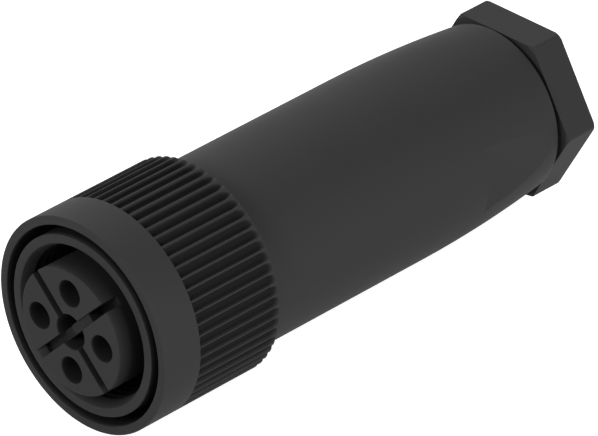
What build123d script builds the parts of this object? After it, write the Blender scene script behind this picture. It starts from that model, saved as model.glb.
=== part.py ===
from build123d import *
from math import cos, radians, sin, sqrt, tan
import os

# Circular power socket for assembly on a cable, straight, with four contacts and a screw coupling.
# The axis lies along X: the mating face is at x = 0 and the cable leaves towards +X.
# +Z is up. All sizes are in millimetres.

# Contacts: turned sockets with a slotted front, a spring sleeve and a clamping screw
contact_count = 4
contact_circle_diameter = 9.08
socket_bore = 2.1
socket_bore_depth = 9.0
socket_diameter = 3.0
socket_mouth_chamfer = 0.25
socket_length = 13.0
socket_slit_width = 0.3
socket_slit_length = 6.0
terminal_diameter = 4.6
terminal_length = 17.4
wire_bore = 2.4
wire_bore_depth = 9.0
screw_diameter = 2.5
screw_length = 1.9
screw_from_rear = 5.0
screw_drive_width = 0.5
screw_drive_depth = 0.7
spring_wall = 0.28
spring_length = 4.0
spring_setback = 1.2
spring_slit = 0.6

# Contact pad: the front of the insulating body, which enters the mating connector
pad_length = 11.4
pad_wall = 1.01
entry_hole_diameter = 3.0
entry_hole_depth = 3.0
centre_hole_diameter = 4.0
centre_hole_depth = 4.0

# Cross slots in the pad, and the coding keyway in the arm that points up and to -Y
slot_width = 1.0
slot_depth = 1.0
key_angle = 135.0
keyway_length = 3.15
keyway_depth = 1.85
keyway_lip = 0.35
shelf_start = 0.2
shelf_depth = 0.3
ramp_length = 1.05
ramp_depth = 0.5
ramp_margin = 0.35

# Insulating body behind the pad: terminal block, threaded neck and flange, each wider than the last
block_wall = 0.31
block_end = 0.55
neck_step = 0.5
neck_length = 10.6
flange_step = 0.65
flange_length = 2.0

# Coupling ring with its internal screw thread, fluted grip and cored-out front
ring_setback = 1.6
ring_edge_chamfer = 0.15
thread_height = 0.5
thread_lead_length = 1.2
ring_inner_wall = 1.0
core_width = 1.0
core_depth = 9.0
ring_rim_width = 1.0
grip_band_length = 4.95
flute_count = 60
flute_width = 1.04
flute_depth = 0.5
flute_start_angle = 0.5
ring_lip_length = 1.8
skirt_wall = 1.2
skirt_length = 2.5
ring_rear_chamfer = 0.2

# Housing: a tube that curves in towards the cable end, with two wrench flats
housing_front_chamfer = 0.3
housing_wall = 2.55
stop_ledge_length = 1.2
core_room_length = 11.0
seat_ledge_length = 2.0
seat_ledge_height = 0.85
curve_length = 17.5
curve_radius = 158.0
housing_rear_chamfer = 0.4
housing_rear_chamfer_length = 1.1
wrench_flat_depth = 0.85
wrench_flat_length = 11.1

# Gland: seat washer, cable seal, pinch ring and hexagon gland nut
gland_step = 0.35
gland_thread_length = 4.1
seat_washer_thickness = 0.8
seat_washer_bore = 10.4
cable_seal_length = 8.0
cable_seal_bore = 8.0
cable_seal_chamfer = 0.8
pinch_ring_thickness = 1.3
pinch_ring_bore = 9.6
pinch_ring_cone = 0.7
nut_bore = 10.2
nut_mouth_chamfer = 0.6
nut_gap = 0.9
nut_hex_length = 4.1
nut_hex_wall = 1.5
nut_edge_radius = 0.4
nut_corner_height = 0.95
nut_chamfer_angle = 30.0

# Sealing rings, both of square section
face_seal_section = 1.1
housing_seal_section = 1.1
housing_seal_land = 1.0

# Clearances, all radial or along the axis as named
running_clearance = 0.05
flange_clearance = 0.15
lip_clearance = 0.1
skirt_clearance = 0.25
ring_end_clearance = 0.1
housing_end_clearance = 0.3
seal_clearance = 0.02
chamber_clearance = 0.05
front_chamber_clearance = 0.07
screw_hole_clearance = 0.25
gland_clearance = 0.15
stop_clearance = 0.1
cut_overrun = 1.0

# Radii, each worked out from the one inside it
contact_circle_radius = contact_circle_diameter / 2
spring_outer_radius = socket_diameter / 2 + seal_clearance + spring_wall
front_chamber_radius = spring_outer_radius + front_chamber_clearance
rear_chamber_radius = terminal_diameter / 2 + chamber_clearance
pad_radius = contact_circle_radius + entry_hole_diameter / 2 + pad_wall
block_radius = contact_circle_radius + rear_chamber_radius + block_wall
neck_radius = block_radius + neck_step
flange_radius = neck_radius + flange_step
thread_minor_radius = flange_radius + flange_clearance
thread_lead_radius = thread_minor_radius + thread_height
core_inner_radius = thread_lead_radius + ring_inner_wall
core_outer_radius = core_inner_radius + core_width
ring_radius = core_outer_radius + ring_rim_width
skirt_radius = ring_radius - skirt_wall
housing_radius = skirt_radius - skirt_clearance
wire_space_radius = housing_radius - housing_wall
gland_bore_radius = wire_space_radius - gland_step
seat_ledge_radius = gland_bore_radius - seat_ledge_height
lip_radius = neck_radius + lip_clearance
block_bore_radius = block_radius + stop_clearance

# Places along the axis, each worked out from the one before it
flange_front = pad_length
flange_rear = flange_front + flange_length
neck_rear = flange_rear + neck_length
contact_front = entry_hole_depth + chamber_clearance
terminal_front = contact_front + socket_length
terminal_rear = terminal_front + terminal_length
screw_place = terminal_rear - screw_from_rear
block_rear = terminal_rear + block_end
ring_front = ring_setback
lip_front = flange_rear + ring_end_clearance
lip_rear = lip_front + ring_lip_length
ring_rear = lip_rear + skirt_length
housing_front = lip_rear + housing_end_clearance
stop_front = neck_rear + stop_clearance
wire_space_front = stop_front + stop_ledge_length
wire_space_rear = block_rear + core_room_length
seat_face = wire_space_rear + seat_ledge_length
seal_front = seat_face + seat_washer_thickness
seal_rear = seal_front + cable_seal_length
nut_front = seal_rear + pinch_ring_thickness
housing_rear = nut_front + gland_thread_length
curve_front = housing_rear - curve_length
hex_front = housing_rear + nut_gap
hex_rear = hex_front + nut_hex_length


def turned(corners):
    """A solid of revolution about the X axis, from its corners as (x, radius)."""
    profile = Plane.XZ * make_face(Polyline(*corners, close=True))
    return revolve(profile, Axis.X)


def tube(x_front, x_rear, outer_radius, inner_radius):
    """A plain tube on the X axis."""
    return turned(
        [
            (x_front, inner_radius),
            (x_rear, inner_radius),
            (x_rear, outer_radius),
            (x_front, outer_radius),
        ]
    )


def rod(x_front, x_rear, radius, y=0.0, z=0.0):
    """A plain round bar parallel to the X axis."""
    return extrude(Plane.YZ.offset(x_front) * Pos(y, z) * Circle(radius), x_rear - x_front)


def radial_block(angle, x_front, x_rear, reach_from, reach_to, width):
    """A block from one reach to another along a radius that makes the angle with +Y."""
    size = Box(x_rear - x_front, reach_to - reach_from, width)
    middle = ((x_front + x_rear) / 2, (reach_from + reach_to) / 2, 0)
    return Rot(X=angle) * Pos(*middle) * size


def contact_angle(index):
    """The angle from +Y of a contact's centre, in degrees."""
    return index * 360 / contact_count


def make_pad_slots():
    """The cross of slots in the pad's face, with the keyway, the shelf and the ramp."""
    reach = pad_radius + cut_overrun
    keyway_start = pad_radius - keyway_length
    ramp_end = pad_radius - ramp_margin
    ramp_start = ramp_end - ramp_length
    across = radial_block(key_angle - 90, -cut_overrun, slot_depth, -reach, reach, slot_width)
    long_arm = radial_block(key_angle, -cut_overrun, slot_depth, -ramp_start, shelf_start, slot_width)
    shelf = radial_block(
        key_angle, -cut_overrun, shelf_depth, shelf_start, keyway_start, slot_width
    )
    keyway = radial_block(key_angle, -cut_overrun, keyway_depth, keyway_start, reach, slot_width)
    lip_corner = pad_radius - keyway_lip
    lip_profile = Plane.XY * make_face(
        Polyline(
            (keyway_depth, lip_corner),
            (keyway_depth + keyway_lip + cut_overrun, reach + keyway_lip),
            (keyway_depth, reach + keyway_lip),
            close=True,
        )
    )
    lip = Rot(X=key_angle) * Pos(Z=-slot_width / 2) * extrude(lip_profile, slot_width)
    ramp_profile = Plane.XY * make_face(
        Polyline(
            (0, -ramp_end),
            (ramp_depth, -ramp_start),
            (-cut_overrun, -ramp_start),
            (-cut_overrun, -ramp_end),
            close=True,
        )
    )
    ramp = Rot(X=key_angle) * Pos(Z=-slot_width / 2) * extrude(ramp_profile, slot_width)
    return [across, long_arm, shelf, keyway, lip, ramp]


def make_centre_web():
    """The web that carries the long slot's floor across the centre hole."""
    hole_radius = centre_hole_diameter / 2
    nose = slot_width / 2
    low = radial_block(
        key_angle, slot_depth, centre_hole_depth, -hole_radius, hole_radius, slot_width
    )
    raised = radial_block(
        key_angle, shelf_depth, slot_depth, shelf_start + nose, hole_radius, slot_width
    )
    tip = rod(shelf_depth, slot_depth, nose)
    tip = Rot(X=key_angle) * Pos(Y=shelf_start + nose) * tip
    hole = rod(0, centre_hole_depth, hole_radius)
    return (low + raised + tip) & hole


def make_contact_carrier():
    """The moulded insulating body: pad, flange, threaded neck and terminal block."""
    body = turned(
        [
            (0, 0),
            (block_rear, 0),
            (block_rear, block_radius),
            (neck_rear, block_radius),
            (neck_rear, neck_radius),
            (flange_rear, neck_radius),
            (flange_rear, flange_radius),
            (flange_front, flange_radius),
            (flange_front, pad_radius),
            (0, pad_radius),
        ]
    )
    body -= make_pad_slots()
    body -= rod(0, centre_hole_depth, centre_hole_diameter / 2)
    body += make_centre_web()
    screw_hole_radius = screw_diameter / 2 + screw_hole_clearance
    for index in range(contact_count):
        angle = contact_angle(index)
        y = contact_circle_radius * cos(radians(angle))
        z = contact_circle_radius * sin(radians(angle))
        body -= rod(-cut_overrun, entry_hole_depth, entry_hole_diameter / 2, y, z)
        body -= rod(entry_hole_depth, terminal_front, front_chamber_radius, y, z)
        body -= rod(terminal_front, block_rear + cut_overrun, rear_chamber_radius, y, z)
        screw_hole = Cylinder(
            screw_hole_radius, block_radius, align=(Align.CENTER, Align.CENTER, Align.MIN)
        )
        body -= Rot(X=angle - 90) * Pos(screw_place, 0, contact_circle_radius) * screw_hole
    return body


def make_contact():
    """One turned contact on the X axis: slotted socket in front, wire terminal behind."""
    socket_radius = socket_diameter / 2
    bore_radius = socket_bore / 2
    bore_end = contact_front + socket_bore_depth
    wire_end = terminal_rear - wire_bore_depth
    body = turned(
        [
            (bore_end, 0),
            (wire_end, 0),
            (wire_end, wire_bore / 2),
            (terminal_rear, wire_bore / 2),
            (terminal_rear, terminal_diameter / 2),
            (terminal_front, terminal_diameter / 2),
            (terminal_front, socket_radius),
            (contact_front, socket_radius),
            (contact_front, bore_radius + socket_mouth_chamfer),
            (contact_front + socket_mouth_chamfer, bore_radius),
            (bore_end, bore_radius),
        ]
    )
    slit = Pos(contact_front + socket_slit_length / 2, 0, 0) * Box(
        socket_slit_length, socket_diameter + cut_overrun, socket_slit_width
    )
    screw_hole = Cylinder(
        screw_diameter / 2 + seal_clearance,
        terminal_diameter,
        align=(Align.CENTER, Align.CENTER, Align.MIN),
    )
    return body - slit - Pos(screw_place, 0, 0) * screw_hole


def make_contact_spring():
    """The slit steel sleeve that presses the socket's halves onto a pin."""
    front = contact_front + spring_setback
    sleeve = tube(
        front, front + spring_length, spring_outer_radius, spring_outer_radius - spring_wall
    )
    slit = Pos(front + spring_length / 2, spring_outer_radius, 0) * Box(
        spring_length + cut_overrun, spring_outer_radius, spring_slit
    )
    return sleeve - slit


def make_terminal_screw():
    """The slotted grub screw that clamps a wire, with its axis along Z."""
    top = block_radius - stop_clearance - contact_circle_radius
    screw = Cylinder(
        screw_diameter / 2, screw_length, align=(Align.CENTER, Align.CENTER, Align.MAX)
    )
    drive = Pos(0, 0, -screw_drive_depth / 2) * Box(
        screw_drive_width, screw_diameter + cut_overrun, screw_drive_depth
    )
    return Pos(screw_place, 0, top) * (screw - drive)


def at_contact(piece, index):
    """Move a piece from the X axis to a contact's place, turned to face outwards."""
    return Rot(X=contact_angle(index) - 90) * Pos(0, 0, contact_circle_radius) * piece


def make_flute_waste():
    """What the grip's flutes take off: a collar that leaves the scalloped outline."""
    groove_radius = (flute_width**2 / 4 + flute_depth**2) / (2 * flute_depth)
    groove_circle = ring_radius - flute_depth + groove_radius
    places = PolarLocations(groove_circle, flute_count, start_angle=flute_start_angle)
    flutes = places * Circle(groove_radius)
    blank = Circle(ring_radius)
    outline = blank - flutes
    waste = Circle(ring_radius + cut_overrun) - outline
    start = ring_front + grip_band_length
    return extrude(Plane.YZ.offset(start) * waste, ring_rear - start + cut_overrun)


def make_coupling_ring():
    """The loose ring that screws onto the mating connector."""
    core_end = ring_front + core_depth
    body = turned(
        [
            (ring_front, thread_lead_radius),
            (ring_front + thread_lead_length, thread_minor_radius),
            (lip_front, thread_minor_radius),
            (lip_front, lip_radius),
            (lip_rear, lip_radius),
            (lip_rear, skirt_radius),
            (ring_rear, skirt_radius),
            (ring_rear, ring_radius - ring_rear_chamfer),
            (ring_rear - ring_rear_chamfer, ring_radius),
            (ring_front + ring_edge_chamfer, ring_radius),
            (ring_front, ring_radius - ring_edge_chamfer),
            (ring_front, core_outer_radius),
            (core_end, core_outer_radius),
            (core_end, core_inner_radius),
            (ring_front, core_inner_radius),
        ]
    )
    return body - make_flute_waste()


def curve_drop(x):
    """How far the housing's outline has come in from its full radius at a place x."""
    past = max(0.0, x - curve_front)
    return curve_radius - sqrt(curve_radius**2 - past**2)


def make_housing():
    """The back shell, from its screwed front to the gland's seat and bore."""
    curve_rear = housing_rear - housing_rear_chamfer_length
    curve_middle = (curve_front + curve_rear) / 2
    curve_rear_radius = housing_radius - curve_drop(curve_rear)
    bore_radius = neck_radius + running_clearance
    groove_front = housing_front + housing_seal_land
    groove_rear = groove_front + housing_seal_section + 2 * seal_clearance
    groove_radius = neck_radius + housing_seal_section + 2 * seal_clearance
    straight = Polyline(
        (curve_rear, curve_rear_radius),
        (housing_rear, curve_rear_radius - housing_rear_chamfer),
        (housing_rear, gland_bore_radius),
        (seat_face, gland_bore_radius),
        (seat_face, seat_ledge_radius),
        (wire_space_rear, seat_ledge_radius),
        (wire_space_rear, wire_space_radius),
        (wire_space_front, wire_space_radius),
        (wire_space_front, block_bore_radius),
        (stop_front, block_bore_radius),
        (stop_front, bore_radius),
        (groove_rear, bore_radius),
        (groove_rear, groove_radius),
        (groove_front, groove_radius),
        (groove_front, bore_radius),
        (housing_front, bore_radius),
        (housing_front, housing_radius - housing_front_chamfer),
        (housing_front + housing_front_chamfer, housing_radius),
        (curve_front, housing_radius),
    )
    curve = ThreePointArc(
        (curve_front, housing_radius),
        (curve_middle, housing_radius - curve_drop(curve_middle)),
        (curve_rear, curve_rear_radius),
    )
    body = revolve(Plane.XZ * make_face(straight + curve), Axis.X)
    flat_front = housing_rear - wrench_flat_length
    flat_reach = housing_radius - wrench_flat_depth
    for side in (-1, 1):
        waste = Box(
            wrench_flat_length + cut_overrun,
            housing_radius,
            2 * housing_radius + cut_overrun,
            align=(Align.MIN, Align.MIN if side > 0 else Align.MAX, Align.CENTER),
        )
        body -= Pos(flat_front, side * flat_reach, 0) * waste
    return body


def make_seat_washer():
    """The flat washer that the cable seal is pressed against."""
    outer_radius = gland_bore_radius - gland_clearance
    return tube(seat_face, seal_front, outer_radius, seat_washer_bore / 2)


def make_cable_seal():
    """The rubber sleeve that the gland squeezes onto the cable."""
    outer_radius = gland_bore_radius - gland_clearance
    bore_radius = cable_seal_bore / 2
    return turned(
        [
            (seal_front, bore_radius + cable_seal_chamfer),
            (seal_front + cable_seal_chamfer, bore_radius),
            (seal_rear - cable_seal_chamfer, bore_radius),
            (seal_rear, bore_radius + cable_seal_chamfer),
            (seal_rear, outer_radius),
            (seal_front, outer_radius),
        ]
    )


def make_pinch_ring():
    """The slip ring that carries the nut's thrust to the seal without turning it."""
    outer_radius = gland_bore_radius - gland_clearance
    bore_radius = pinch_ring_bore / 2
    return turned(
        [
            (seal_rear, bore_radius),
            (nut_front - pinch_ring_cone, bore_radius),
            (nut_front, bore_radius + pinch_ring_cone),
            (nut_front, outer_radius),
            (seal_rear, outer_radius),
        ]
    )


def make_gland_nut():
    """The hexagon pressure screw: threaded shank in the housing, hexagon outside."""
    shank_radius = gland_bore_radius - running_clearance
    bore_radius = nut_bore / 2
    flat_radius = gland_bore_radius + nut_hex_wall
    corner_radius = flat_radius / cos(radians(30))
    circle_radius = flat_radius + nut_corner_height
    chamfer_length = (corner_radius - circle_radius) * tan(radians(nut_chamfer_angle))
    hexagon = extrude(
        Plane.YZ.offset(hex_front) * RegularPolygon(corner_radius, 6), nut_hex_length
    )
    hexagon = fillet(hexagon.edges().filter_by(Axis.X), nut_edge_radius)
    envelope = turned(
        [
            (hex_front, 0),
            (hex_front, circle_radius),
            (hex_front + chamfer_length, corner_radius),
            (hex_rear - chamfer_length, corner_radius),
            (hex_rear, circle_radius),
            (hex_rear, 0),
        ]
    )
    shank = rod(nut_front, hex_front, shank_radius)
    bore = turned(
        [
            (nut_front - cut_overrun, 0),
            (nut_front - cut_overrun, bore_radius),
            (hex_rear - nut_mouth_chamfer, bore_radius),
            (hex_rear, bore_radius + nut_mouth_chamfer),
            (hex_rear + cut_overrun, bore_radius + nut_mouth_chamfer),
            (hex_rear + cut_overrun, 0),
        ]
    )
    return (hexagon & envelope) + shank - bore


def make_face_seal():
    """The flat sealing ring round the pad, which lies on the flange."""
    inner_radius = pad_radius + seal_clearance
    return tube(
        flange_front - face_seal_section,
        flange_front,
        inner_radius + face_seal_section,
        inner_radius,
    )


def make_housing_seal():
    """The sealing ring in the housing's groove, round the insulating body's neck."""
    front = housing_front + housing_seal_land + seal_clearance
    inner_radius = neck_radius + seal_clearance
    return tube(
        front, front + housing_seal_section, inner_radius + housing_seal_section, inner_radius
    )


def make_parts():
    """Every separate piece of the socket, by name."""
    parts = {
        "contact_carrier": make_contact_carrier(),
        "face_seal": make_face_seal(),
        "coupling_ring": make_coupling_ring(),
        "housing_seal": make_housing_seal(),
        "housing": make_housing(),
        "seat_washer": make_seat_washer(),
        "cable_seal": make_cable_seal(),
        "pinch_ring": make_pinch_ring(),
        "gland_nut": make_gland_nut(),
    }
    contact = make_contact()
    spring = make_contact_spring()
    screw = make_terminal_screw()
    for index in range(contact_count):
        parts[f"contact_{index + 1}"] = at_contact(contact, index)
        parts[f"contact_spring_{index + 1}"] = at_contact(spring, index)
        parts[f"terminal_screw_{index + 1}"] = at_contact(screw, index)
    return parts


def main():
    os.makedirs("parts", exist_ok=True)
    for name, piece in make_parts().items():
        export_step(piece, f"parts/{name}.step")


main()
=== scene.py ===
# %% [markdown]
# # A power socket for a cable, in black moulded plastic
#
# The object is a round cable socket with a fluted coupling ring at the front, a smooth housing behind
# it and a hexagon gland nut at the cable end. Its pieces already exist as plain solids at their real
# size. This lesson keeps the small pieces of metal, rubber and plastic inside it and gives them a
# finish. The four large mouldings are modelled again, with the soft edges, flutes and threads that a
# mould leaves. All lengths are in metres.

# %% The frame
from math import cos, hypot, pi, radians, sin, sqrt, tan

import bmesh
import bpy
from mathutils import Matrix, Vector


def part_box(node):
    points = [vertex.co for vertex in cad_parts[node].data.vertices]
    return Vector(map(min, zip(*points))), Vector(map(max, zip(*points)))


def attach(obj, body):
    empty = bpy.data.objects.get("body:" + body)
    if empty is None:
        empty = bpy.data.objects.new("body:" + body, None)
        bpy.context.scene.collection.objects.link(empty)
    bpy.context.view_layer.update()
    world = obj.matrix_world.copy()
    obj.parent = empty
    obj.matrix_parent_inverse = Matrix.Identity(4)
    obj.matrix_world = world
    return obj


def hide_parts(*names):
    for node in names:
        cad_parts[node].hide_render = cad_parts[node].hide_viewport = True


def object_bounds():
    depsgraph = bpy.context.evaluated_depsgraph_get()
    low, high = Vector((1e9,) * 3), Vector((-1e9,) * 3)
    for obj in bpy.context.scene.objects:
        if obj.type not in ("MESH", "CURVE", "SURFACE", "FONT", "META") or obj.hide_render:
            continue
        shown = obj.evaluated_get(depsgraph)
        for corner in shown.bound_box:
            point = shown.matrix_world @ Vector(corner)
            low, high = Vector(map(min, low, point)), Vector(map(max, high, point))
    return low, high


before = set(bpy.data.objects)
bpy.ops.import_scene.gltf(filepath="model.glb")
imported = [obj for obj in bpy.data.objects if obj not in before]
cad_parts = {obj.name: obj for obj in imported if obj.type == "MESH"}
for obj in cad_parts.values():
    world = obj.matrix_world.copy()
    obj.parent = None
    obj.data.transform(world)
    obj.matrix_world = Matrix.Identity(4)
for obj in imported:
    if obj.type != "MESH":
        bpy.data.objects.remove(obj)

solid_bounds = [list(corner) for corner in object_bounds()]
MM = 0.001
print("solids:", len(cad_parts), "box:", solid_bounds)

# %% [markdown]
# ## The camera
#
# The picture was taken from far away with a long lens, from the front, above and to the left, so
# parallel edges stay nearly parallel. The camera could be placed by a bare position, but an angle
# round the object, a height angle, a small roll and a distance are easier to check. The last shift is
# half a pixel and lays the view on the picture's own grid.

# %% Camera at the photograph's angle
camera_azimuth = radians(-44.82)
camera_elevation = radians(31.39)
camera_roll = radians(-0.68)
camera_distance = 746.3 * MM
camera_lens = 436.07
aim_point = Vector((31.6, -1.06, -0.07)) * MM
half_pixel = 0.0515 * MM


def camera_axes(azimuth, elevation, roll):
    """The camera's right, up and backward directions."""
    back = Vector((sin(azimuth) * cos(elevation), -cos(azimuth) * cos(elevation), sin(elevation)))
    right = Vector((cos(azimuth), sin(azimuth), 0))
    up = back.cross(right)
    turned_right = cos(roll) * right + sin(roll) * up
    turned_up = -sin(roll) * right + cos(roll) * up
    return turned_right, turned_up, back


right, up, back = camera_axes(camera_azimuth, camera_elevation, camera_roll)
aim_point += half_pixel * (up - right)
camera_data = bpy.data.cameras.new("camera")
camera_data.lens = camera_lens
camera_data.clip_end = 10
camera = bpy.data.objects.new("camera", camera_data)
bpy.context.scene.collection.objects.link(camera)
camera.matrix_world = Matrix.Translation(aim_point + camera_distance * back) @ (
    Matrix((right, up, back)).transposed().to_4x4()
)
bpy.context.scene.camera = camera
bpy.context.scene.view_settings.view_transform = "Standard"
print("camera at", [round(value, 4) for value in camera.location])

# %% [markdown]
# ## Shader maths in plain Python
#
# A node tree is quick to draw by hand but hard to read in a script. A small class that wraps one
# socket lets the sums be written as sums, so `0.5 + 0.1 * noise` adds the two Math nodes by itself.
# Every other kind of node comes from one method, which takes the node's type, its settings and its
# inputs.


# %% A value that runs through a material
class Wire:
    """An output socket of a material that can be used in sums."""

    first_colour, second_colour, mixed_colour = 6, 7, 2

    def __init__(self, tree, socket=None):
        self.tree = tree
        self.socket = socket

    def node(self, kind, settings=None, inputs=None, output=0):
        """Adds a node, applies its settings, fills its inputs and gives one of its outputs."""
        node = self.tree.nodes.new(kind)
        for name, value in (settings or {}).items():
            setattr(node, name, value)
        for name, value in (inputs or {}).items():
            if isinstance(value, Wire):
                self.tree.links.new(value.socket, node.inputs[name])
            else:
                node.inputs[name].default_value = value
        return Wire(self.tree, node.outputs[output])

    def maths(self, operation, first, second):
        return self.node("ShaderNodeMath", {"operation": operation}, {0: first, 1: second})

    def __add__(self, other):
        return self.maths("ADD", self, other)

    def __radd__(self, other):
        return self.maths("ADD", other, self)

    def __sub__(self, other):
        return self.maths("SUBTRACT", self, other)

    def __rsub__(self, other):
        return self.maths("SUBTRACT", other, self)

    def __mul__(self, other):
        return self.maths("MULTIPLY", self, other)

    def __rmul__(self, other):
        return self.maths("MULTIPLY", other, self)

    def __pow__(self, other):
        return self.maths("POWER", self, other)

    def __lt__(self, other):
        return self.maths("LESS_THAN", self, other)

    def __gt__(self, other):
        return self.maths("GREATER_THAN", self, other)

    def at_least(self, other):
        """The larger of this value and another."""
        return self.maths("MAXIMUM", self, other)

    def at_most(self, other):
        """The smaller of this value and another."""
        return self.maths("MINIMUM", self, other)

    def blend(self, low, high):
        """A colour that goes from low to high as this value goes from 0 to 1."""
        inputs = {0: self, self.first_colour: low, self.second_colour: high}
        return self.node("ShaderNodeMix", {"data_type": "RGBA"}, inputs, self.mixed_colour)


def new_material(name):
    """An empty material: its tree, a Principled shader and the object's own coordinates."""
    material = bpy.data.materials.new(name)
    material.use_nodes = True
    tree = material.node_tree
    shader = tree.nodes["Principled BSDF"]
    places = Wire(tree).node("ShaderNodeTexCoord", output="Object")
    return material, shader, places


def feed(shader, name, wire):
    """Runs a wire into one of the shader's inputs."""
    wire.tree.links.new(wire.socket, shader.inputs[name])


print("shader maths ready")

# %% [markdown]
# ## Black moulded plastic
#
# The mouldings are glass-filled nylon: nearly black, matte, and evenly lit. Up close the surface
# carries the fine grain of a spark-eroded mould, and slow patches where the melt cooled faster and
# the gloss differs a little. A picture of such a surface would smear or repeat on round walls. Two
# noises don't: a fine one for the grain and a coarse one for the patches.

# %% The plastic finishes


def noise(places, grain_size, detail=2.0, roughness=0.5):
    """A noise whose lumps are about grain_size across."""
    return places.node(
        "ShaderNodeTexNoise",
        {"noise_dimensions": "3D"},
        {"Vector": places, "Scale": 1 / grain_size, "Detail": detail, "Roughness": roughness},
    )


def add_bump(shader, height, depth):
    """Runs a height field of the given depth into the shader's normal."""
    inputs = {"Strength": 1.0, "Distance": depth, "Height": height}
    feed(shader, "Normal", height.node("ShaderNodeBump", None, inputs))


def moulded_plastic(name, colours, rough, specular, grain_size, grain_depth):
    """Matte moulded plastic with mould grain and slow changes of gloss."""
    material, shader, places = new_material(name)
    grain = noise(places, grain_size, detail=3.0)
    patches = noise(places, patch_size)
    mottle = patch_share * patches + (1 - patch_share) * grain
    feed(shader, "Base Color", mottle.blend(*colours))
    feed(shader, "Roughness", rough - 0.5 * gloss_change + gloss_change * patches)
    add_bump(shader, grain, grain_depth)
    shader.inputs["Specular IOR Level"].default_value = specular
    return material


patch_size = 6 * MM
patch_share = 0.65
gloss_change = 0.1
matte, matte_specular = 0.72, 0.1
satin, satin_specular = 0.45, 0.4
shell_black = (0.026, 0.026, 0.027, 1), (0.032, 0.032, 0.033, 1)
pad_black = (0.023, 0.023, 0.024, 1), (0.029, 0.029, 0.03, 1)
washer_black = (0.03, 0.03, 0.031, 1), (0.04, 0.04, 0.042, 1)

ring_plastic = moulded_plastic(
    "ring_plastic", shell_black, matte, matte_specular, 0.16 * MM, 0.004 * MM
)
housing_plastic = moulded_plastic(
    "housing_plastic", shell_black, matte, matte_specular, 0.2 * MM, 0.004 * MM
)
nut_plastic = moulded_plastic(
    "nut_plastic", shell_black, matte, matte_specular, 0.16 * MM, 0.004 * MM
)
insert_plastic = moulded_plastic(
    "insert_plastic", pad_black, matte, matte_specular, 0.12 * MM, 0.003 * MM
)
washer_plastic = moulded_plastic(
    "washer_plastic", washer_black, satin, satin_specular, 0.1 * MM, 0.003 * MM
)
print("plastics ready, matte roughness", matte, "satin roughness", satin)

# %% [markdown]
# ## Rubber and metals
#
# The sealing rings and the cable seal are rubber, a little rougher and blotched with talc. The
# contacts are turned brass with a thin gold-coloured plating, so the lathe's fine rings run round each
# one. The springs and screws are steel. Real rings could be modelled, but at this size a wave along
# the object's own X axis, fed into the bump, is lighter and looks the same.

# %% The rubber and metal finishes


def seal_rubber_finish(name):
    """Dull black rubber with faint dusty patches."""
    material, shader, places = new_material(name)
    dust = noise(places, 1.2 * MM, detail=4.0, roughness=0.65)
    feed(shader, "Base Color", dust.blend((0.012, 0.012, 0.013, 1), (0.03, 0.03, 0.031, 1)))
    feed(shader, "Roughness", 0.68 + 0.2 * dust)
    add_bump(shader, noise(places, 0.15 * MM, detail=3.0), 0.006 * MM)
    shader.inputs["Specular IOR Level"].default_value = 0.3
    return material


def turned_metal(name, dark, light, rough, ring_size, ring_depth):
    """Turned metal with uneven gloss and rings along the axis, about six ring sizes apart."""
    material, shader, places = new_material(name)
    wave_scale = 1 / (wave_phase * ring_size)
    rings = places.node(
        "ShaderNodeTexWave",
        {"wave_type": "BANDS", "bands_direction": "X"},
        {"Vector": places, "Scale": wave_scale, "Distortion": 0.6, "Detail": 2.0},
    )
    patches = noise(places, 1.5 * MM, detail=3.0)
    feed(shader, "Base Color", (0.6 * patches + 0.4 * rings).blend((*dark, 1), (*light, 1)))
    feed(shader, "Roughness", rough + 0.12 * patches)
    add_bump(shader, rings, ring_depth)
    shader.inputs["Metallic"].default_value = 1.0
    return material


wave_phase = 20
seal_rubber = seal_rubber_finish("seal_rubber")
contact_brass = turned_metal(
    "contact_brass", (0.62, 0.42, 0.14), (0.78, 0.57, 0.24), 0.22, 0.12 * MM, 0.002 * MM
)
spring_steel = turned_metal(
    "spring_steel", (0.42, 0.42, 0.43), (0.56, 0.56, 0.57), 0.26, 0.3 * MM, 0.001 * MM
)
screw_steel = turned_metal(
    "screw_steel", (0.5, 0.5, 0.5), (0.64, 0.64, 0.63), 0.3, 0.2 * MM, 0.002 * MM
)
print("rubber and metals ready")

# %% A finish for every solid
slot_finishes = {
    "insert_plastic": insert_plastic,
    "ring_plastic": ring_plastic,
    "housing_plastic": housing_plastic,
    "nut_plastic": nut_plastic,
    "washer_plastic": washer_plastic,
    "seal_rubber": seal_rubber,
    "contact_brass": contact_brass,
    "spring_steel": spring_steel,
    "screw_steel": screw_steel,
}
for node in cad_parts.values():
    slot = node.data.materials[0].name.split(".")[0]
    node.data.materials[0] = slot_finishes[slot]
print("finishes given to", len(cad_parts), "solids")

# %% [markdown]
# ## Painted shade in hollows
#
# Hollows in black plastic swallow the light: their walls see little but one another. The lamps alone
# leave them too pale, and colour painted by hand would not fit the real depths. So the shade is
# painted with a second, darker and duller shader that is mixed in, and a share between 0 and 1 says
# how much of this painted shade shows at a place. The share comes from the depth behind a face or
# from the distance to the axis.

# %% Painted shade for hollows


def place_on_axis(tree):
    """A material's place along the X axis and its distance from that axis."""
    places = Wire(tree).node("ShaderNodeTexCoord", output="Object")
    x, y, z = [places.node("ShaderNodeSeparateXYZ", None, {0: places}, axis) for axis in range(3)]
    return x, (y * y + z * z) ** 0.5


def rise(value, low, high):
    """A smooth step from 0 at low to 1 at high."""
    limits = {"Value": value, "From Min": low, "From Max": high}
    return value.node("ShaderNodeMapRange", {"interpolation_type": "SMOOTHSTEP"}, limits)


def between(value, low, high):
    """1 where the value lies between two limits, else 0."""
    return (value > low) * (value < high)


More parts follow.
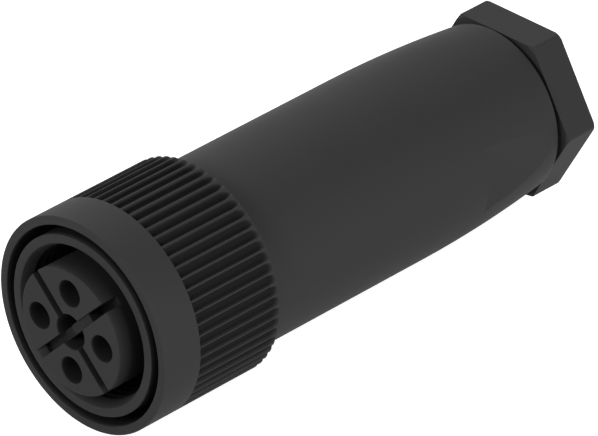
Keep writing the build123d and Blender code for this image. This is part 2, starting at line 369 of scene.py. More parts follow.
def darken(material, share):
    """Mixes the painted shade, a dark shader, into a material at the given share."""
    tree = material.node_tree
    plain = Wire(tree, tree.nodes["Principled BSDF"].outputs[0])
    deep = share.node("ShaderNodeBsdfPrincipled", None, painted_shade_inputs)
    mixed = share.node("ShaderNodeMixShader", None, {0: share, 1: plain, 2: deep})
    tree.links.new(mixed.socket, tree.nodes["Material Output"].inputs["Surface"])


# Painted shade: a darker, duller shader that stands in for the shade in hollows.
painted_shade_inputs = {
    "Base Color": (0.006, 0.006, 0.006, 1),
    "Roughness": 0.8,
    "Specular IOR Level": 0.08,
}
print("dark finish ready")

# %% [markdown]
# ## Outlines with soft corners
#
# Ring, housing and carrier are all round about the X axis, so each is described by one outline of
# places along the axis and distances from it. Sharp corners look drawn, and a Bevel modifier on a
# thousand edges is slow and uneven. So the outline itself gets the small radius that a mould leaves at
# each corner, and every edge catches a little light.

# %% Outlines


def soften(corners, steps=3):
    """A closed outline of (x, radius) points from corners of (x, radius, corner radius)."""
    outline = []
    for index, (x, r, size) in enumerate(corners):
        here = Vector((x, r))
        before = Vector(corners[index - 1][:2]) - here
        after = Vector(corners[(index + 1) % len(corners)][:2]) - here
        if size == 0:
            outline.append((x, r))
            continue
        half = before.angle(after) / 2
        reach = min(size / tan(half), longest_share * before.length, longest_share * after.length)
        start, end = here + before.normalized() * reach, here + after.normalized() * reach
        middle = here + (before.normalized() + after.normalized()).normalized() * reach / cos(half)
        radius = reach * tan(half)
        for step in range(steps + 1):
            share = step / steps
            spoke = ((start - middle) * (1 - share) + (end - middle) * share).normalized()
            outline.append(tuple(middle + spoke * radius))
    return outline


longest_share = 0.45
print("a rounding takes at most", longest_share, "of an edge")

# %% [markdown]
# ## Turned shapes
#
# A lathe makes a round piece from its outline. Blender's Spin would do so too, but it needs the outline
# as a mesh first. Here a circle is pushed along the axis and resized from station to station, which
# keeps a chosen number of vertices round the piece. A tube closes on its first circle, and a solid
# keeps a face at each end.

# %% Turned bodies


def select_none():
    """Deselects every object, so that an operator acts on the new piece alone."""
    bpy.ops.object.select_all(action="DESELECT")


def turned(name, outline, segments, solid=False):
    """A circle pushed and resized along the outline: a closed tube, or a solid with end faces."""
    select_none()
    x, radius = outline[0]
    bpy.ops.mesh.primitive_circle_add(
        vertices=segments, radius=radius, fill_type="NGON" if solid else "NOTHING"
    )
    piece = bpy.context.object
    piece.name = name
    for vertex in piece.data.vertices:
        vertex.co = (x, vertex.co.x, vertex.co.y)
    bpy.ops.object.mode_set(mode="EDIT")
    bpy.ops.mesh.select_all(action="SELECT")
    for next_x, next_radius in outline[1:] + ([] if solid else outline[:1]):
        bpy.ops.mesh.extrude_region_move(TRANSFORM_OT_translate={"value": (next_x - x, 0, 0)})
        growth = next_radius / radius
        bpy.ops.transform.resize(value=(1, growth, growth), center_override=(next_x, 0, 0))
        x, radius = next_x, next_radius
    bpy.ops.mesh.select_all(action="SELECT")
    bpy.ops.mesh.remove_doubles(threshold=merge_distance)
    bpy.ops.mesh.normals_make_consistent(inside=False)
    bpy.ops.object.mode_set(mode="OBJECT")
    return piece


merge_distance = 0.0005 * MM
print("lathe ready, merging below", merge_distance)

# %% [markdown]
# ## A finished piece
#
# Every new piece ends in the same way. Its modifiers are applied and its gentle edges are shaded
# smooth. It gets the finish of its slot, moves with the body it belongs to, and takes the place of its
# plain solid. One function does this for all of them, so that none is forgotten.

# %% Finishing


def select_only(piece):
    """Selects one piece alone and makes it the active one."""
    select_none()
    piece.select_set(True)
    bpy.context.view_layer.objects.active = piece


def apply_modifiers(piece):
    """Applies every modifier that the piece carries."""
    select_only(piece)
    for modifier in list(piece.modifiers):
        bpy.ops.object.modifier_apply(modifier=modifier.name)


def finish_piece(piece, slot, body, node, smooth_angle=35):
    """Smooths a finished piece, gives it its slot's finish and lets it stand for its solid."""
    select_only(piece)
    bpy.ops.object.shade_smooth_by_angle(angle=radians(smooth_angle))
    even_normals = piece.modifiers.new("even_normals", "WEIGHTED_NORMAL")
    even_normals.keep_sharp = True
    apply_modifiers(piece)
    piece.data.materials.clear()
    piece.data.materials.append(slot_finishes[slot])
    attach(piece, body)
    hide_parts(node)
    piece.data.calc_loop_triangles()
    print(piece.name, "triangles:", len(piece.data.loop_triangles))


print("finishing ready")

# %% [markdown]
# ## Screw threads
#
# A thread is one small ridge that winds round the axis. It could be extruded step by step, but the
# Screw modifier winds a section in one go. The section is drawn once, as a plane in the shape of the
# tooth. The ridge sinks a little into its wall, and its two ends fade into it, as the first and last
# turn of a moulded thread do.

# %% A wound ridge


def thread_ridge(name, start, turns, pitch, wall_radius, crest_radius, base_share=0.8):
    """A right-handed ridge on a wall at wall_radius, with its crest at crest_radius."""
    select_none()
    sink = ridge_sink if wall_radius > crest_radius else -ridge_sink
    base_radius = wall_radius + sink
    height = crest_radius - base_radius
    bpy.ops.mesh.primitive_plane_add(size=1, rotation=(pi / 2, 0, 0))
    piece = bpy.context.object
    piece.name = name
    bpy.ops.object.transform_apply(location=True, rotation=True, scale=True)
    for vertex in piece.data.vertices:
        on_crest = vertex.co.z > 0
        width = pitch * (crest_share if on_crest else base_share)
        vertex.co = (start + vertex.co.x * width, 0, base_radius + (height if on_crest else 0))
    winding = piece.modifiers.new("winding", "SCREW")
    winding.axis = "X"
    winding.angle = 2 * pi
    winding.screw_offset = pitch
    winding.iterations = turns
    winding.steps = winding.render_steps = thread_steps
    winding.use_merge_vertices = False
    bpy.ops.object.mode_set(mode="EDIT")
    bpy.ops.mesh.select_all(action="SELECT")
    bpy.ops.mesh.delete(type="ONLY_FACE")
    bpy.ops.object.mode_set(mode="OBJECT")
    apply_modifiers(piece)
    fade_ends(piece, base_radius)
    bpy.ops.object.mode_set(mode="EDIT")
    bpy.ops.mesh.select_all(action="SELECT")
    bpy.ops.mesh.fill_holes(sides=4)
    bpy.ops.mesh.select_all(action="SELECT")
    bpy.ops.mesh.normals_make_consistent(inside=False)
    bpy.ops.object.mode_set(mode="OBJECT")
    return piece


def fade_ends(piece, base_radius):
    """Lets a ridge sink into its wall over its first and last part of a turn."""
    rings = len(piece.data.vertices) // 4
    for vertex in piece.data.vertices:
        place = vertex.index // 4
        share = min(1, min(place, rings - 1 - place) / fade_steps)
        radius = hypot(vertex.co.y, vertex.co.z)
        height_share = end_height + (1 - end_height) * sin(share * pi / 2)
        wanted = base_radius + (radius - base_radius) * height_share
        vertex.co.y *= wanted / radius
        vertex.co.z *= wanted / radius


def join_pieces(piece, extras):
    """Makes the extras part of the piece's own mesh."""
    select_only(piece)
    for extra in extras:
        extra.select_set(True)
    bpy.ops.object.join()


ridge_sink = 0.03 * MM
crest_share = 0.14
thread_steps = 72
fade_steps = 24
end_height = 0.02
print("thread winder ready:", thread_steps, "steps a turn")

# %% [markdown]
# ## The coupling ring
#
# The ring is one moulding: a screw thread inside, a front face that is cored out to keep the wall
# even, a plain band, and sixty flutes for the fingers. Modelling it from a cylinder would take a cut
# for each step inside. Its outline holds all the steps at once, so the ring is turned from it in one
# go, with enough vertices round it for the flutes that follow.

# %% The coupling ring's measures
ring_low, ring_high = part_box("coupling_ring")
ring_front, ring_rear = ring_low.x, ring_high.x
ring_radius = 12.0 * MM
rim_width = 1.0 * MM
core_depth = 9.0 * MM
core_inner_radius = 10.0 * MM
thread_root_radius = 9.0 * MM
thread_crest_radius = 8.5 * MM
lead_length = 1.2 * MM
lip_radius = 7.8 * MM
lip_length = 1.8 * MM
skirt_radius = 10.8 * MM
skirt_length = 2.5 * MM
band_length = 4.95 * MM
outer_rounding = 0.15 * MM
face_rounding = 0.08 * MM
bore_rounding = 0.06 * MM
lip_rounding = 0.05 * MM
skirt_rounding = 0.1 * MM
flute_count = 60
flute_width = 1.04 * MM
flute_depth = 0.5 * MM
flute_start_length = 0.03 * MM
flute_end_length = 1.1 * MM
flute_end_steps = 9
flute_end_share = 0.25
flute_end_power = 1.6
first_flute = radians(1.0)
ring_segments = 1080

lip_rear = ring_rear - skirt_length
lip_front = lip_rear - lip_length
flute_front = ring_front + band_length
flute_end_front = ring_rear - flute_end_length
thread_front = ring_front + 1.5 * lead_length
thread_rear = lip_front - 2.6 * MM
thread_relief = 0.35 * MM
grip_inner_radius = skirt_radius + 0.5 * rim_width
print("ring from", ring_front, "to", ring_rear)

# %% The coupling ring's outline
flute_step = flute_end_length / flute_end_steps
grip_places = [
    flute_front,
    flute_front + flute_start_length,
    *[flute_end_front + flute_step * step for step in range(flute_end_steps)],
]
ring_corners = [
    (ring_front, thread_root_radius, bore_rounding),
    (ring_front, core_inner_radius, face_rounding),
    (ring_front + core_depth, core_inner_radius, 0),
    (ring_front + core_depth, core_inner_radius + rim_width, 0),
    (ring_front, core_inner_radius + rim_width, face_rounding),
    (ring_front, ring_radius, outer_rounding),
    *[(x, ring_radius, 0) for x in grip_places],
    (ring_rear, ring_radius, outer_rounding),
    (ring_rear, skirt_radius, skirt_rounding),
    (lip_rear, skirt_radius, 0),
    (lip_rear, lip_radius, lip_rounding),
    (lip_front, lip_radius, lip_rounding),
    (lip_front, thread_crest_radius, 0),
    (thread_rear + thread_relief, thread_crest_radius, lip_rounding),
    (thread_rear, thread_root_radius, 0),
    (thread_front, thread_root_radius, 0),
    (thread_front - thread_relief, thread_crest_radius, lip_rounding),
    (ring_front + lead_length, thread_crest_radius, lip_rounding),
]
coupling_ring = turned("coupling_ring_moulded", soften(ring_corners), ring_segments)
print("ring turned:", len(coupling_ring.data.vertices), "vertices")

# %% [markdown]
# ## Sixty flutes
#
# Each flute is a shallow round groove. It starts abruptly behind the plain band and grows shallow and
# narrow towards the rear edge. Sixty cutters could carve them, but so many cuts leave slivers on the
# rims. Instead each vertex of the grip is drawn in towards the axis, as deep as the groove is there.

# %% The flutes


def flute_depth_at(x, offset):
    """How deep a flute is at a place along it and an angle from its middle, in radians."""
    flute_radius = (flute_width**2 / 4 + flute_depth**2) / (2 * flute_depth)
    across = ring_radius * sin(abs(offset))
    if across >= flute_radius:
        return 0.0
    run_out = max(0.0, x - flute_end_front) / flute_end_length
    lift = flute_depth * (1 - flute_end_share) * run_out**flute_end_power
    return max(0.0, sqrt(flute_radius**2 - across**2) - (flute_radius - flute_depth) - lift)


def press_flutes(piece):
    """Draws the grip's vertices in to the flutes' outline."""
    spacing = 2 * pi / flute_count
    for vertex in piece.data.vertices:
        x, y, z = vertex.co
        radius = hypot(y, z)
        if x < flute_front + flute_start_length / 3 or radius < grip_inner_radius:
            continue
        angle = Vector((y, z)).angle_signed(Vector((1, 0))) - first_flute
        offset = (angle + spacing / 2) % spacing - spacing / 2
        wanted = min(radius, ring_radius - flute_depth_at(x, offset))
        vertex.co.y *= wanted / radius
        vertex.co.z *= wanted / radius


press_flutes(coupling_ring)
print("flutes pressed:", flute_count)

# %% [markdown]
# ## The ring's thread
#
# The ring screws onto the mating plug with seven turns of a fine thread. The turned bore leaves room
# for it, and the ridge is joined to the ring's mesh rather than merged with it, because the two
# surfaces only cross and nobody sees the hidden seam.

# %% Thread and finish
ring_turns = 7
ring_pitch = 1.0 * MM
ring_thread = thread_ridge(
    "ring_thread", thread_front, ring_turns, ring_pitch, thread_root_radius, thread_crest_radius
)
join_pieces(coupling_ring, [ring_thread])
finish_piece(coupling_ring, "ring_plastic", "ring", "coupling_ring")

# %% [markdown]
# ## The ring's hollows
#
# Three parts of the ring lie in shade, and the shade is painted on: the flutes, the core behind the
# front face, and the bore. The distance to the axis tells them apart, so no seams or extra materials
# are needed. The painted shade deepens in the flutes towards their floor, and in core and bore with
# the depth behind the face.

# %% The ring's painted shade
flute_floor, flute_edge = ring_radius - 0.36 * MM, ring_radius - 0.04 * MM
flute_shade, core_shade = 0.9, 0.9
mouth_shade, bore_shade = 0.3, 0.65
wall_radius = (thread_root_radius + core_inner_radius) / 2

x, radius = place_on_axis(ring_plastic.node_tree)
behind_face = x - ring_front
in_flutes = flute_shade * (1 - rise(radius, flute_floor, flute_edge))
in_flutes *= between(x, flute_front, ring_rear - 0.05 * MM) * (radius > grip_inner_radius)
in_core = core_shade * rise(behind_face, 0.1 * MM, 0.7 * MM)
in_core *= between(radius, wall_radius, grip_inner_radius) * (x < flute_front)
in_bore = mouth_shade * rise(behind_face, 0.1 * MM, 0.6 * MM)
in_bore += bore_shade * rise(behind_face, lead_length, 2 * lead_length)
in_bore *= (radius < wall_radius) * (x < lip_front)
# Painted shade on flutes, core and bore: the dark shader is mixed in by these shares.
darken(ring_plastic, in_flutes + in_core + in_bore)
print("hollows darkened:", ring_plastic.name)

# %% [markdown]
# ## The housing
#
# The housing is a tube that holds its full width over most of its length and then curves in on a wide
# arc towards the cable. A soft band closes it at the rear. Inside are a seal groove, a stop for the
# carrier, room for the wires and a seat for the cable seal. A bent curve could give the outside alone,
# but one closed outline gives both sides with the true wall, so it is turned like the ring.

# %% The housing's measures
housing_low, housing_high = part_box("housing")
housing_front, housing_rear = housing_low.x, housing_high.x
housing_radius = 10.55 * MM
neck_bore_radius = 7.75 * MM
seal_groove_radius = 8.84 * MM
seal_groove_front = housing_front + 1.0 * MM
seal_groove_rear = seal_groove_front + 1.14 * MM
stop_front = 24.1 * MM
stop_radius = 7.3 * MM
wire_space_front = stop_front + 1.2 * MM
wire_space_radius = 8.0 * MM
seat_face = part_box("seat_washer")[0].x
wire_space_rear = seat_face - 2.0 * MM
seat_ledge_radius = 6.8 * MM
gland_bore_radius = 7.65 * MM
straight_places = [26 * MM, 34 * MM]
curve_radius = 158.0 * MM
curve_length = 17.5 * MM
curve_steps = 14
band_height = 0.12 * MM
band_width = 1.1 * MM
rear_growth = 0.35 * MM
collar_rounding = 0.3 * MM
band_rounding = 0.5 * MM
rear_rounding = 0.15 * MM
inner_rounding = 0.1 * MM
housing_segments = 360

curve_front = housing_rear - curve_length
end_face = housing_rear + rear_growth
curve_rear = end_face - band_width
print("housing from", housing_front, "to", end_face)

# %% The housing's outline


def housing_outer_radius(x):
    """The housing's outline at a place along its curve."""
    return housing_radius - curve_radius + sqrt(curve_radius**2 - (x - curve_front) ** 2)


curve_places = [
    curve_front + (curve_rear - curve_front) * step / curve_steps for step in range(curve_steps)
]
band_front_radius = housing_outer_radius(curve_rear)
housing_corners = [
    (housing_front, neck_bore_radius, inner_rounding),
    (housing_front, housing_radius, collar_rounding),
    *[(x, housing_radius, 0) for x in straight_places],
    *[(x, housing_outer_radius(x), 0) for x in curve_places],
    (curve_rear, band_front_radius, band_rounding),
    (end_face, band_front_radius - band_height, rear_rounding),
    (end_face, gland_bore_radius, inner_rounding),
    (seat_face, gland_bore_radius, 0),
    (seat_face, seat_ledge_radius, inner_rounding),
    (wire_space_rear, seat_ledge_radius, inner_rounding),
    (wire_space_rear, wire_space_radius, 0),
    (wire_space_front, wire_space_radius, 0),
    (wire_space_front, stop_radius, inner_rounding),
    (stop_front, stop_radius, 0),
    (stop_front, neck_bore_radius, 0),
    (seal_groove_rear, neck_bore_radius, 0),
    (seal_groove_rear, seal_groove_radius, 0),
    (seal_groove_front, seal_groove_radius, 0),
    (seal_groove_front, neck_bore_radius, 0),
]
housing = turned("housing_moulded", soften(housing_corners), housing_segments)
print("housing turned:", len(housing.data.vertices), "vertices")

# %% [markdown]
# ## The wrench flats
#
# Two shallow flats on the housing's sides let a wrench hold it while the gland nut is tightened. Each
# has a square step at its front. A flat meets the round, curving wall in a line that is awkward to
# draw by hand, and a boolean cut with a plain block finds it exactly.

# %% Cutting one piece with others


def cut(piece, cutters, operation="DIFFERENCE"):
    """Cuts one piece with others, which are made of triangles first and used up."""
    for cutter in cutters:
        cutter.modifiers.new("triangles", "TRIANGULATE")
        apply_modifiers(cutter)
        modifier = piece.modifiers.new("cut", "BOOLEAN")
        modifier.operation = operation
        modifier.solver = "EXACT"
        modifier.object = cutter
    apply_modifiers(piece)
    for cutter in cutters:
        bpy.data.objects.remove(cutter)


def block(low, high):
    """A plain block between two corners, used as a cutter."""
    select_none()
    middle = (Vector(low) + Vector(high)) / 2
    bpy.ops.mesh.primitive_cube_add(size=1, location=middle, scale=Vector(high) - Vector(low))
    bpy.ops.object.transform_apply(location=True, rotation=True, scale=True)
    return bpy.context.object


print("cutters ready")

# %% The wrench flats
flat_reach = 9.7 * MM
flat_length = 11.1 * MM
past = 1.0 * MM
flat_front = housing_rear - flat_length
beside = housing_radius + past
cut(
    housing,
    [
        block(
            (flat_front, min(side * flat_reach, side * beside), -housing_radius),
            (end_face + past, max(side * flat_reach, side * beside), housing_radius),
        )
        for side in (-1, 1)
    ],
)
finish_piece(housing, "housing_plastic", "housing", "housing", smooth_angle=20)

# %% [markdown]
# ## The gland nut
#
# The nut is a hexagon on a threaded shank. The hexagon is a cylinder with six sides, whose six upright
# edges are rounded. Modelling the flats one by one would risk uneven ones. The Bevel operator acts on
# the selected edges only, so they are picked by their length along the axis.

# %% The gland nut's measures
nut_low, nut_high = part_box("gland_nut")
nut_front, nut_rear = nut_low.x, nut_high.x
hexagon_length = 4.1 * MM
hexagon_front = nut_rear - hexagon_length
half_across_flats = 9.15 * MM
corner_circle = 10.1 * MM
rear_corner_circle = 10.3 * MM
corner_radius = half_across_flats / cos(pi / 6)
edge_radius = 0.4 * MM
edge_steps = 6
chamfer_slope = tan(pi / 6)
shank_radius = 7.6 * MM
shank_root_radius = 7.15 * MM
nut_bore_radius = 5.1 * MM
mouth_chamfer = 0.6 * MM
nut_segments = 256
print("nut from", nut_front, "to", nut_rear)

# %% The hexagon


def select_edges(piece, wanted):
    """Goes into edit mode with only the edges selected that the test accepts."""
    select_only(piece)
    bpy.ops.object.mode_set(mode="EDIT")
    bpy.ops.mesh.select_mode(type="EDGE")
    bpy.ops.mesh.select_all(action="DESELECT")
    mesh = bmesh.from_edit_mesh(piece.data)
    for edge in mesh.edges:
        if wanted(*[vertex.co for vertex in edge.verts]):
            edge.select_set(True)
    bmesh.update_edit_mesh(piece.data)


select_none()
bpy.ops.mesh.primitive_cylinder_add(
    vertices=6,
    radius=corner_radius,
    depth=hexagon_length,
    location=((hexagon_front + nut_rear) / 2, 0, 0),
    rotation=(0, pi / 2, 0),
)
gland_nut = bpy.context.object
gland_nut.name = "gland_nut_moulded"
bpy.ops.object.transform_apply(location=True, rotation=True, scale=True)
select_edges(gland_nut, lambda start, end: abs(start.x - end.x) > hexagon_length / 2)
bpy.ops.mesh.bevel(offset=edge_radius * tan(pi / 6), segments=edge_steps, affect="EDGES")
bpy.ops.mesh.select_mode(type="VERT")
bpy.ops.object.mode_set(mode="OBJECT")
print("hexagon:", len(gland_nut.data.polygons), "faces")

# %% [markdown]
# ## Chamfers, shank and bore
#
# A turned chamfer leaves a curved line on each corner of a hexagon. Bevelled edges would give straight
# ones. So the hexagon keeps only the part that it shares with a round body whose ends slope in. The
# shank is then added and the bore taken out, and a fine Bevel rounds the edges that the cuts left.

# %% The nut's turned parts


def soften_edges(piece, width, limit, steps=2):
    """Rounds every edge of a piece that turns by more than the limit."""
    modifier = piece.modifiers.new("edges", "BEVEL")
    modifier.width = width
    modifier.segments = steps
    modifier.limit_method = "ANGLE"
    modifier.angle_limit = limit
    modifier.harden_normals = False
    apply_modifiers(piece)


wide = corner_radius + 0.5 * MM
front_slope_length = (wide - corner_circle) * chamfer_slope
rear_slope_length = (wide - rear_corner_circle) * chamfer_slope
envelope_stations = [
    (hexagon_front - past, corner_circle - past / chamfer_slope),
    (hexagon_front + front_slope_length, wide),
    (nut_rear - rear_slope_length, wide),
    (nut_rear + past, rear_corner_circle - past / chamfer_slope),
]
shank_stations = [
    (nut_front, shank_root_radius),
    (hexagon_front + 0.5 * MM, shank_root_radius),
]
bore_stations = [
    (nut_front - past, nut_bore_radius),
    (nut_rear - mouth_chamfer, nut_bore_radius),
    (nut_rear + past, nut_bore_radius + mouth_chamfer + past),
]
cut(gland_nut, [turned("envelope", envelope_stations, nut_segments, solid=True)], "INTERSECT")
cut(gland_nut, [turned("shank", shank_stations, nut_segments, solid=True)], "UNION")
cut(gland_nut, [turned("bore", bore_stations, nut_segments, solid=True)])
soften_edges(gland_nut, 0.12 * MM, radians(18))
print("nut cut:", len(gland_nut.data.polygons), "faces")

# %% The nut's thread and finish
gland_turns = 2
gland_pitch = 1.411 * MM
gland_base_share = 0.6
nut_thread = thread_ridge(
    "nut_thread",
    nut_front + 0.5 * MM,
    gland_turns,
    gland_pitch,
    shank_root_radius,
    shank_radius,
    gland_base_share,
)
join_pieces(gland_nut, [nut_thread])
finish_piece(gland_nut, "nut_plastic", "gland_nut", "gland_nut", smooth_angle=25)

# %% [markdown]
# ## The contact carrier
#
# The carrier is one moulding from the pad in front to the terminal block behind, and it holds the four
# contacts apart. Outside it is round all along: pad, flange, threaded neck and block. Stacked cylinders
# would need joining, so it is turned as one solid, which the slots and holes are then cut into.

# %% The carrier's body
carrier_low, carrier_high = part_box("contact_carrier")
block_rear = carrier_high.x
pad_radius = 7.05 * MM
pad_length = 11.4 * MM
flange_radius = 8.35 * MM
flange_length = 2.0 * MM
neck_radius = 7.7 * MM
neck_root_radius = 7.25 * MM
neck_length = 10.6 * MM
block_radius = 7.2 * MM
end_inset = 0.3 * MM
carrier_segments = 256

flange_rear = pad_length + flange_length
neck_rear = flange_rear + neck_length
neck_thread_front = neck_rear - 5.6 * MM
carrier_corners = [
    (0, pad_radius - end_inset, 0),
    (0, pad_radius, 0.12 * MM),
    (pad_length, pad_radius, 0),
    (pad_length, flange_radius, 0.1 * MM),
    (flange_rear, flange_radius, 0.1 * MM),
    (flange_rear, neck_radius, 0),
    (neck_thread_front, neck_radius, 0.05 * MM),
    (neck_thread_front + 0.4 * MM, neck_root_radius, 0),
    (neck_rear, neck_root_radius, 0),
    (neck_rear, block_radius, 0),
    (block_rear, block_radius, 0.15 * MM),
    (block_rear, block_radius - end_inset, 0),
]
carrier = turned("contact_carrier_moulded", soften(carrier_corners), carrier_segments, solid=True)
print("carrier turned:", len(carrier.data.vertices), "vertices")

# %% [markdown]
# ## Cutters with soft mouths
#
# The pad's slots are narrow and have softened edges, which are hard to bevel after the cuts because
# slots, holes and rim meet there. So each cutter widens at the mouth, and the cut leaves the soft edge
# by itself. Straight cutters are flat outlines swept along a line, and round ones come off the lathe.

# %% Round and straight cutters


def place_cutter(cutter, angle=0.0, y=0.0):
    """Moves a cutter off the axis along Y and then turns it about the axis."""
    cutter.matrix_world = Matrix.Rotation(angle, 4, "X") @ Matrix.Translation((0, y, 0))
    select_only(cutter)
    bpy.ops.object.transform_apply(location=True, rotation=True, scale=True)
    return cutter


def drill(stations, y=0.0, angle=0.0, segments=64):
    """A stepped round cutter along X through (x, radius) stations."""
    return place_cutter(turned("drill", stations, segments, solid=True), angle, y)


def prism(corners, sweep):
    """A solid from a flat outline that is swept along a straight line."""
    select_none()
    bpy.ops.mesh.primitive_circle_add(vertices=len(corners), radius=1, fill_type="NGON")
    piece = bpy.context.object
    for vertex, corner in zip(piece.data.vertices, corners):
        vertex.co = corner
    bpy.ops.object.mode_set(mode="EDIT")
    bpy.ops.mesh.select_all(action="SELECT")
    bpy.ops.mesh.extrude_region_move(TRANSFORM_OT_translate={"value": sweep})
    bpy.ops.mesh.select_all(action="SELECT")
    bpy.ops.mesh.normals_make_consistent(inside=False)
    bpy.ops.object.mode_set(mode="OBJECT")
    return piece


print("drill and prism ready")

# %% Slots and side cuts


def slot_bar(depth, start, end):
    """A slot's waste along Y: a bar that widens at the mouth for the softened edge."""
    half = slot_width / 2
    section = [
        (depth, -half),
        (depth, half),
        (soft, half),
        (-past, half + soft + past),
        (-past, -half - soft - past),
        (soft, -half),
    ]
    return prism([(x, start, z) for x, z in section], (0, end - start, 0))


def side_cut(section):
    """A waste piece as wide as a slot, from its (x, y) section."""
    return prism([(x, y, -slot_width / 2) for x, y in section], (0, 0, slot_width))


slot_width = 1.0 * MM
slot_depth = 1.0 * MM
soft = 0.06 * MM
key_angle = radians(135)
reach = pad_radius + past
shelf_start = 0.2 * MM
shelf_depth = 0.3 * MM
keyway_start = pad_radius - 3.15 * MM
keyway_depth = 1.85 * MM
keyway_lip = 0.35 * MM
ramp_end = pad_radius - 0.35 * MM
ramp_start = ramp_end - 1.05 * MM
ramp_depth = 0.5 * MM
centre_hole_radius = 2.0 * MM
centre_hole_depth = 4.0 * MM
print("slots", slot_width, "wide, keyway", keyway_depth, "deep")

# %% [markdown]
# ## The cross of slots
#
# One arm of the cross deepens into the keyway that only lets the right plug in, and the arm across
# from it ends in a ramp. The round hole in the middle is bridged by two webs. The waste is built up as
# one piece while it lies along the axes, where its sections are simple numbers. The webs are cut out
# of it again, and it is turned to the keyway's angle last.

# %% The slots, the keyway and the centre hole
pad_waste = drill(
    [
        (-past, centre_hole_radius + soft + past),
        (soft, centre_hole_radius),
        (centre_hole_depth, centre_hole_radius),
    ],
    segments=90,
)
beyond = reach + keyway_lip
ramp_section = [
    (0, -ramp_end),
    (ramp_depth, -ramp_start),
    (ramp_depth, -ramp_start + soft),
    (-past, -ramp_start + soft),
    (-past, -ramp_end),
]
lip_section = [
    (keyway_depth, pad_radius - keyway_lip),
    (keyway_depth + keyway_lip + past, beyond),
    (keyway_depth - soft, beyond),
    (keyway_depth - soft, pad_radius - keyway_lip),
]
cut(
    pad_waste,
    [
        place_cutter(slot_bar(slot_depth, -reach, reach), -pi / 2),
        slot_bar(slot_depth, -ramp_start, shelf_start),
        slot_bar(shelf_depth, shelf_start - soft, keyway_start + soft),
        slot_bar(keyway_depth, keyway_start, reach),
        side_cut(ramp_section),
        side_cut(lip_section),
    ],
    "UNION",
)
print("waste of the slots:", len(pad_waste.data.polygons), "faces")

# %% The webs across the centre hole
nose = slot_width / 2
nose_steps = 16
web_reach = centre_hole_radius + past
nose_turns = [pi / 2 + pi * step / nose_steps for step in range(nose_steps + 1)]
nose_line = [(shelf_start + nose + nose * cos(turn), nose * sin(turn)) for turn in nose_turns]
raised_outline = [*nose_line, (web_reach, -nose), (web_reach, nose)]
low_outline = [(-web_reach, nose), (-web_reach, -nose), (web_reach, -nose), (web_reach, nose)]
cut(
    pad_waste,
    [
        prism([(slot_depth, y, z) for y, z in low_outline], (centre_hole_depth, 0, 0)),
        prism([(shelf_depth, y, z) for y, z in raised_outline], (slot_depth, 0, 0)),
    ],
)
cut(carrier, [place_cutter(pad_waste, key_angle)])
print("pad cut:", len(carrier.data.polygons), "faces")

# %% [markdown]
# ## Holes for contacts and screws
#
# Each contact lies in a stepped hole: a narrow entry in the pad, a chamber for its spring and a wide
# one for its terminal. A screw reaches the terminal from the side. Four drills and four cylinders,
# turned round the axis by a quarter each, take the waste out in one go.

# %% The contacts' holes and the screw holes
contact_circle = 4.54 * MM
entry_radius = 1.5 * MM
entry_depth = 3.0 * MM
socket_chamber = 1.87 * MM
terminal_front = 16.05 * MM
terminal_chamber = 2.35 * MM
screw_place = 28.45 * MM
screw_hole_radius = 1.5 * MM
screw_hole_segments = 61
contact_stations = [
    (-past, entry_radius + soft + past),
    (soft, entry_radius),
    (entry_depth, entry_radius),
    (entry_depth, socket_chamber),
    (terminal_front, socket_chamber),
    (terminal_front, terminal_chamber),
    (block_rear + past, terminal_chamber),
]
screw_reach = block_radius + past - contact_circle
screw_middle = contact_circle + screw_reach / 2
carrier_waste = []
for quarter in range(4):
    angle = quarter * pi / 2
    carrier_waste.append(drill(contact_stations, contact_circle, angle))
    select_none()
    bpy.ops.mesh.primitive_cylinder_add(
        vertices=screw_hole_segments,
        radius=screw_hole_radius,
        depth=screw_reach,
        location=(screw_place, screw_middle * cos(angle), screw_middle * sin(angle)),
        rotation=(angle - pi / 2, 0, 0),
    )
    carrier_waste.append(bpy.context.object)
cut(carrier, carrier_waste)
print("carrier cut:", len(carrier.data.polygons), "faces")

# %% The carrier's thread and finish
neck_turns = 5
neck_pitch = 1.0 * MM
neck_thread = thread_ridge(
    "neck_thread",
    neck_thread_front + 0.2 * MM,
    neck_turns,
    neck_pitch,
    neck_root_radius,
    neck_radius - 0.02 * MM,
)
join_pieces(carrier, [neck_thread])
finish_piece(carrier, "insert_plastic", "insert", "contact_carrier")

# %% [markdown]
# ## The carrier's hollows
#
# On the pad the depth behind the face alone tells the painted shade: the slots get a soft one, the
# holes are painted nearly black. The pad's own outer wall stands free and gets a little less of it.
# Behind the pad nothing shows, so the painted shade ends there.

# %% The carrier's painted shade
depth_power = 0.3
wall_share = 0.75
x, radius = place_on_axis(insert_plastic.node_tree)
depth_share = (x - soft).at_least(0.0) * (1 / entry_depth)
depth_share = (depth_share**depth_power).at_most(1.0) * (x < pad_length)
in_pad = radius < pad_radius - 0.05 * MM
# Painted shade: more of the dark shader deeper behind the face, a little less on the free outer wall.
darken(insert_plastic, depth_share * (wall_share + (1 - wall_share) * in_pad))
print("hollows darkened:", insert_plastic.name)

# %% [markdown]
# ## The floor
#
# The object stands in even white surroundings. A floor bright enough to look white by the lamps alone
# would throw that light back on the black plastic. So part of its brightness is its own glow, which
# only the camera and reflections see. It reads as white and still keeps a soft shadow.

# %% Floor
floor_size = 3.0
floor_height = solid_bounds[0][2]
floor_glow = 0.9
black, white = (0, 0, 0, 1), (1, 1, 1, 1)


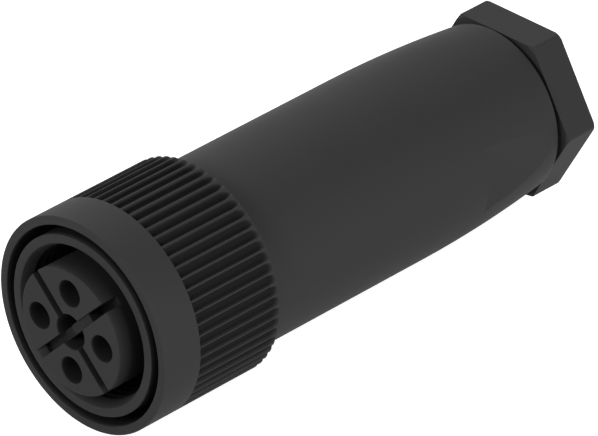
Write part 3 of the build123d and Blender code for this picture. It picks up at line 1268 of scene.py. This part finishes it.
def seen_directly(start):
    """1 for rays that look at a surface or mirror it, 0 for those that only carry light."""
    straight = start.node("ShaderNodeLightPath", output="Is Camera Ray")
    glossy = start.node("ShaderNodeLightPath", output="Is Glossy Ray")
    passing = start.node("ShaderNodeLightPath", output="Is Transmission Ray")
    return straight.at_least(glossy).at_least(passing)


select_none()
bpy.ops.mesh.primitive_plane_add(size=floor_size, location=(0, 0, floor_height))
floor = bpy.context.object
floor.name = "floor"
floor_paint, floor_shader, floor_places = new_material("floor_paint")
floor_shader.inputs["Base Color"].default_value = (0.6, 0.6, 0.6, 1)
floor_shader.inputs["Roughness"].default_value = 0.9
floor_shader.inputs["Specular IOR Level"].default_value = 0.0
floor_shader.inputs["Emission Strength"].default_value = floor_glow
feed(floor_shader, "Emission Color", seen_directly(floor_places).blend(black, white))
floor.data.materials.append(floor_paint)
print("floor at", floor_height)

# %% [markdown]
# ## World and lamps
#
# The world is white to the eye and to reflections, and dim as a light, so that the lamps give the
# black plastic its form. Small lamps would leave hard glints on it, and large ones would flatten it.
# Three soft ones stand round the object: one behind it lights its upper edge, two before it light its
# side and its front, and a darker stripe lies between.

# %% World and lamps
world_light = 0.15
world = bpy.data.worlds.new("world")
world.use_nodes = True
bpy.context.scene.world = world
background = world.node_tree.nodes["Background"]
background.inputs["Color"].default_value = white
feed(background, "Strength", world_light + (1 - world_light) * seen_directly(Wire(world.node_tree)))


def add_lamp(name, azimuth, elevation, power):
    """A square soft lamp that looks at the object from the given angles."""
    _, _, away = camera_axes(radians(azimuth), radians(elevation), 0)
    lamp_data = bpy.data.lights.new(name, "AREA")
    lamp_data.size = lamp_size
    lamp_data.energy = power
    lamp = bpy.data.objects.new(name, lamp_data)
    bpy.context.scene.collection.objects.link(lamp)
    lamp.location = aim_point + lamp_distance * away
    lamp.rotation_euler = away.to_track_quat("Z", "Y").to_euler()


lamp_distance = 0.6
lamp_size = 0.25
add_lamp("back_lamp", 165, 40, 2.8)
add_lamp("side_lamp", 0, 10, 2.85)
add_lamp("front_lamp", -90, 30, 2.2)

# %% [markdown]
# ## The end
#
# The solids' box is printed near the top, and the scene ends here. The finished object must not be
# larger than its solids.

# %% The end
print("scene ends")
